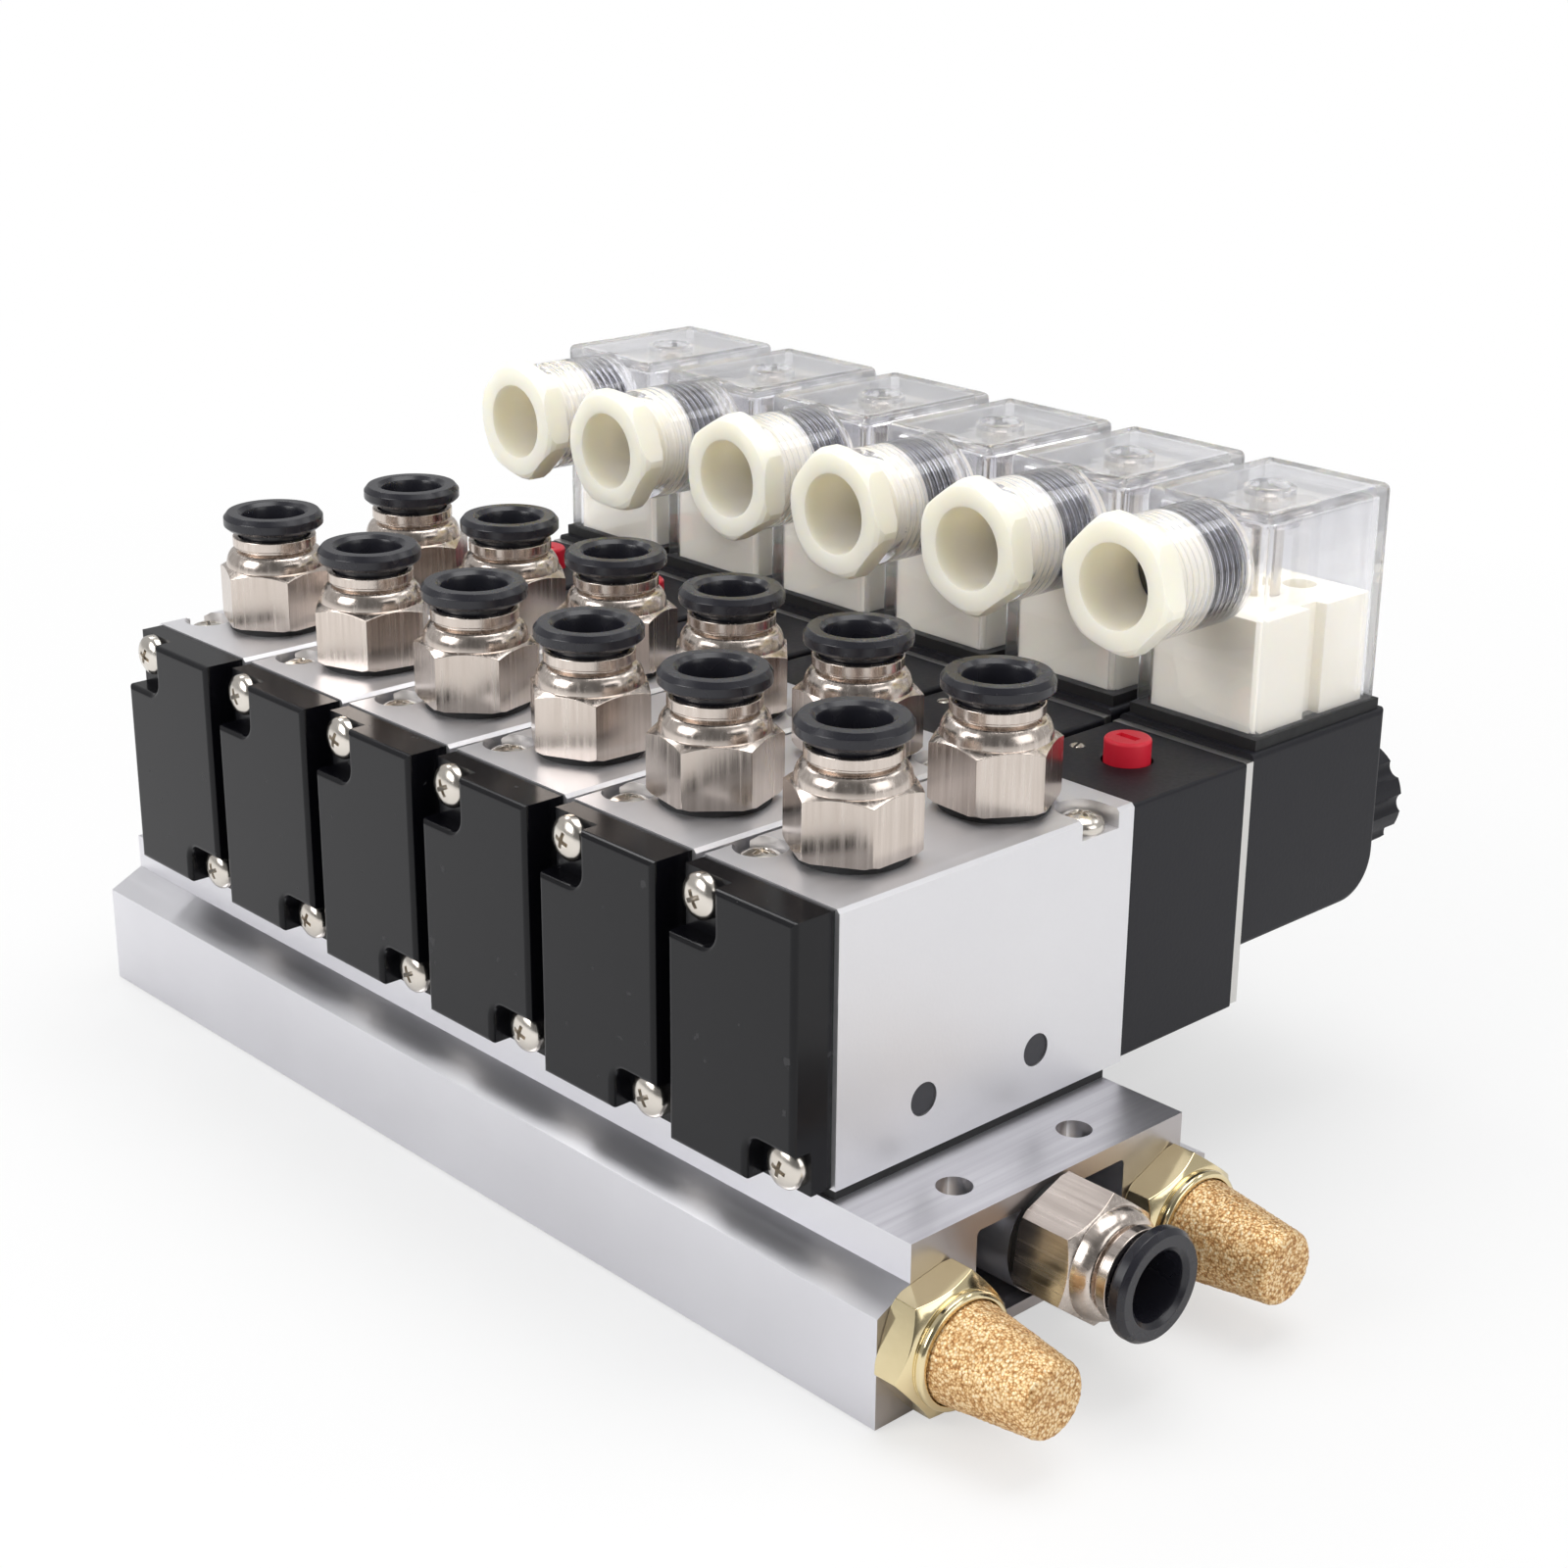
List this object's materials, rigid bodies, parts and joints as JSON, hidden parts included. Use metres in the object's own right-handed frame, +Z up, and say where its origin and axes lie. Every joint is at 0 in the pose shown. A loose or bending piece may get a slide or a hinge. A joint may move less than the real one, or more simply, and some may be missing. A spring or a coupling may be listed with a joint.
{
  "type": "pneumatic valve island",
  "caption": "Row of solenoid valves on an extruded manifold, with push-in tube fittings, clear plug connectors, silencers and manual overrides.",
  "frame": {"origin": "on the deck of the manifold, at the middle of its four mounting holes", "axes": "+X along the manifold towards the supply fitting and silencers, +Y from the end covers to the coils, +Z up"},
  "size_m": [0.1779, 0.1147, 0.087],
  "materials": {
    "aluminium": "extruded, satin anodised",
    "body_aluminium": "satin anodised",
    "zinc_steel": "zinc plated",
    "black_rubber": "matt",
    "black_plug": "matt",
    "gloss_black": "moulded, glossy",
    "nickel_screw": "nickel plated",
    "black_plastic": "moulded, satin",
    "steel_plate": "bright steel",
    "coil_black": "moulded, satin",
    "clear_plastic": "clear moulded plastic",
    "cream_plastic": "moulded nylon",
    "cream_nylon": "moulded nylon",
    "nickel_brass": "nickel plated brass",
    "brass": "polished",
    "sintered_bronze": "sintered granules",
    "ring_black": "moulded acetal",
    "override_red": "moulded",
    "spool_metal": "turned"
  },
  "bodies": {
    "island": {"manifold": "aluminium", "port_plugs": "zinc_steel", "base_gaskets": "black_rubber", "valve_body_1": "body_aluminium", "valve_body_2": "body_aluminium", "valve_body_3": "body_aluminium", "valve_body_4": "body_aluminium", "valve_body_5": "body_aluminium", "valve_body_6": "body_aluminium", "side_plugs": "black_plug", "end_covers": "gloss_black", "cover_screws": "nickel_screw", "mounting_screws": "nickel_screw", "pilot_bodies": "black_plastic", "pilot_plates": "steel_plate", "armature_tubes": "steel_plate", "coils": "coil_black", "coil_nuts": "coil_black", "connector_gaskets": "black_rubber", "connector_housings": "clear_plastic", "terminal_blocks": "cream_plastic", "connector_screws": "nickel_screw", "gland_nuts": "cream_nylon", "cable_grommets": "black_rubber", "fitting_bodies": "nickel_brass", "fitting_seals": "black_rubber", "silencer_holders": "brass", "silencer_cones": "sintered_bronze"},
    "ring_a1": {"release_ring_a1": "ring_black"},
    "ring_a2": {"release_ring_a2": "ring_black"},
    "ring_a3": {"release_ring_a3": "ring_black"},
    "ring_a4": {"release_ring_a4": "ring_black"},
    "ring_a5": {"release_ring_a5": "ring_black"},
    "ring_a6": {"release_ring_a6": "ring_black"},
    "ring_b1": {"release_ring_b1": "ring_black"},
    "ring_b2": {"release_ring_b2": "ring_black"},
    "ring_b3": {"release_ring_b3": "ring_black"},
    "ring_b4": {"release_ring_b4": "ring_black"},
    "ring_b5": {"release_ring_b5": "ring_black"},
    "ring_b6": {"release_ring_b6": "ring_black"},
    "ring_supply": {"release_ring_supply": "ring_black"},
    "override_1": {"override_button_1": "override_red"},
    "spool_1": {"spool_1": "spool_metal"},
    "armature_1": {"armature_1": "steel_plate"},
    "override_2": {"override_button_2": "override_red"},
    "spool_2": {"spool_2": "spool_metal"},
    "armature_2": {"armature_2": "steel_plate"},
    "override_3": {"override_button_3": "override_red"},
    "spool_3": {"spool_3": "spool_metal"},
    "armature_3": {"armature_3": "steel_plate"},
    "override_4": {"override_button_4": "override_red"},
    "spool_4": {"spool_4": "spool_metal"},
    "armature_4": {"armature_4": "steel_plate"},
    "override_5": {"override_button_5": "override_red"},
    "spool_5": {"spool_5": "spool_metal"},
    "armature_5": {"armature_5": "steel_plate"},
    "override_6": {"override_button_6": "override_red"},
    "spool_6": {"spool_6": "spool_metal"},
    "armature_6": {"armature_6": "steel_plate"}
  },
  "joints": [
    {"name": "release_press_a1", "type": "slide", "parent": "island", "child": "ring_a1", "axis": [0, 0, -1], "range_m": [0, 0.0009], "stiffness_N_per_m": 600, "springref_m": -0.0008},
    {"name": "release_press_a2", "type": "slide", "parent": "island", "child": "ring_a2", "axis": [0, 0, -1], "range_m": [0, 0.0009], "stiffness_N_per_m": 600, "springref_m": -0.0008},
    {"name": "release_press_a3", "type": "slide", "parent": "island", "child": "ring_a3", "axis": [0, 0, -1], "range_m": [0, 0.0009], "stiffness_N_per_m": 600, "springref_m": -0.0008},
    {"name": "release_press_a4", "type": "slide", "parent": "island", "child": "ring_a4", "axis": [0, 0, -1], "range_m": [0, 0.0009], "stiffness_N_per_m": 600, "springref_m": -0.0008},
    {"name": "release_press_a5", "type": "slide", "parent": "island", "child": "ring_a5", "axis": [0, 0, -1], "range_m": [0, 0.0009], "stiffness_N_per_m": 600, "springref_m": -0.0008},
    {"name": "release_press_a6", "type": "slide", "parent": "island", "child": "ring_a6", "axis": [0, 0, -1], "range_m": [0, 0.0009], "stiffness_N_per_m": 600, "springref_m": -0.0008},
    {"name": "release_press_b1", "type": "slide", "parent": "island", "child": "ring_b1", "axis": [0, 0, -1], "range_m": [0, 0.0009], "stiffness_N_per_m": 600, "springref_m": -0.0008},
    {"name": "release_press_b2", "type": "slide", "parent": "island", "child": "ring_b2", "axis": [0, 0, -1], "range_m": [0, 0.0009], "stiffness_N_per_m": 600, "springref_m": -0.0008},
    {"name": "release_press_b3", "type": "slide", "parent": "island", "child": "ring_b3", "axis": [0, 0, -1], "range_m": [0, 0.0009], "stiffness_N_per_m": 600, "springref_m": -0.0008},
    {"name": "release_press_b4", "type": "slide", "parent": "island", "child": "ring_b4", "axis": [0, 0, -1], "range_m": [0, 0.0009], "stiffness_N_per_m": 600, "springref_m": -0.0008},
    {"name": "release_press_b5", "type": "slide", "parent": "island", "child": "ring_b5", "axis": [0, 0, -1], "range_m": [0, 0.0009], "stiffness_N_per_m": 600, "springref_m": -0.0008},
    {"name": "release_press_b6", "type": "slide", "parent": "island", "child": "ring_b6", "axis": [0, 0, -1], "range_m": [0, 0.0009], "stiffness_N_per_m": 600, "springref_m": -0.0008},
    {"name": "release_press_supply", "type": "slide", "parent": "island", "child": "ring_supply", "axis": [-1, 0, 0], "range_m": [0, 0.0009], "stiffness_N_per_m": 600, "springref_m": -0.0008},
    {"name": "override_press_1", "type": "slide", "parent": "island", "child": "override_1", "axis": [0, 0, -1], "range_m": [0, 0.002], "stiffness_N_per_m": 900, "springref_m": -0.0008},
    {"name": "override_press_2", "type": "slide", "parent": "island", "child": "override_2", "axis": [0, 0, -1], "range_m": [0, 0.002], "stiffness_N_per_m": 900, "springref_m": -0.0008},
    {"name": "override_press_3", "type": "slide", "parent": "island", "child": "override_3", "axis": [0, 0, -1], "range_m": [0, 0.002], "stiffness_N_per_m": 900, "springref_m": -0.0008},
    {"name": "override_press_4", "type": "slide", "parent": "island", "child": "override_4", "axis": [0, 0, -1], "range_m": [0, 0.002], "stiffness_N_per_m": 900, "springref_m": -0.0008},
    {"name": "override_press_5", "type": "slide", "parent": "island", "child": "override_5", "axis": [0, 0, -1], "range_m": [0, 0.002], "stiffness_N_per_m": 900, "springref_m": -0.0008},
    {"name": "override_press_6", "type": "slide", "parent": "island", "child": "override_6", "axis": [0, 0, -1], "range_m": [0, 0.002], "stiffness_N_per_m": 900, "springref_m": -0.0008},
    {"name": "spool_shift_1", "type": "slide", "parent": "island", "child": "spool_1", "axis": [0, 1, 0], "range_m": [0, 0.003], "stiffness_N_per_m": 300, "springref_m": -0.002},
    {"name": "spool_shift_2", "type": "slide", "parent": "island", "child": "spool_2", "axis": [0, 1, 0], "range_m": [0, 0.003], "stiffness_N_per_m": 300, "springref_m": -0.002},
    {"name": "spool_shift_3", "type": "slide", "parent": "island", "child": "spool_3", "axis": [0, 1, 0], "range_m": [0, 0.003], "stiffness_N_per_m": 300, "springref_m": -0.002},
    {"name": "spool_shift_4", "type": "slide", "parent": "island", "child": "spool_4", "axis": [0, 1, 0], "range_m": [0, 0.003], "stiffness_N_per_m": 300, "springref_m": -0.002},
    {"name": "spool_shift_5", "type": "slide", "parent": "island", "child": "spool_5", "axis": [0, 1, 0], "range_m": [0, 0.003], "stiffness_N_per_m": 300, "springref_m": -0.002},
    {"name": "spool_shift_6", "type": "slide", "parent": "island", "child": "spool_6", "axis": [0, 1, 0], "range_m": [0, 0.003], "stiffness_N_per_m": 300, "springref_m": -0.002},
    {"name": "armature_lift_1", "type": "slide", "parent": "island", "child": "armature_1", "axis": [0, 1, 0], "range_m": [0, 0.0008], "stiffness_N_per_m": 500, "springref_m": -0.001},
    {"name": "armature_lift_2", "type": "slide", "parent": "island", "child": "armature_2", "axis": [0, 1, 0], "range_m": [0, 0.0008], "stiffness_N_per_m": 500, "springref_m": -0.001},
    {"name": "armature_lift_3", "type": "slide", "parent": "island", "child": "armature_3", "axis": [0, 1, 0], "range_m": [0, 0.0008], "stiffness_N_per_m": 500, "springref_m": -0.001},
    {"name": "armature_lift_4", "type": "slide", "parent": "island", "child": "armature_4", "axis": [0, 1, 0], "range_m": [0, 0.0008], "stiffness_N_per_m": 500, "springref_m": -0.001},
    {"name": "armature_lift_5", "type": "slide", "parent": "island", "child": "armature_5", "axis": [0, 1, 0], "range_m": [0, 0.0008], "stiffness_N_per_m": 500, "springref_m": -0.001},
    {"name": "armature_lift_6", "type": "slide", "parent": "island", "child": "armature_6", "axis": [0, 1, 0], "range_m": [0, 0.0008], "stiffness_N_per_m": 500, "springref_m": -0.001}
  ]
}
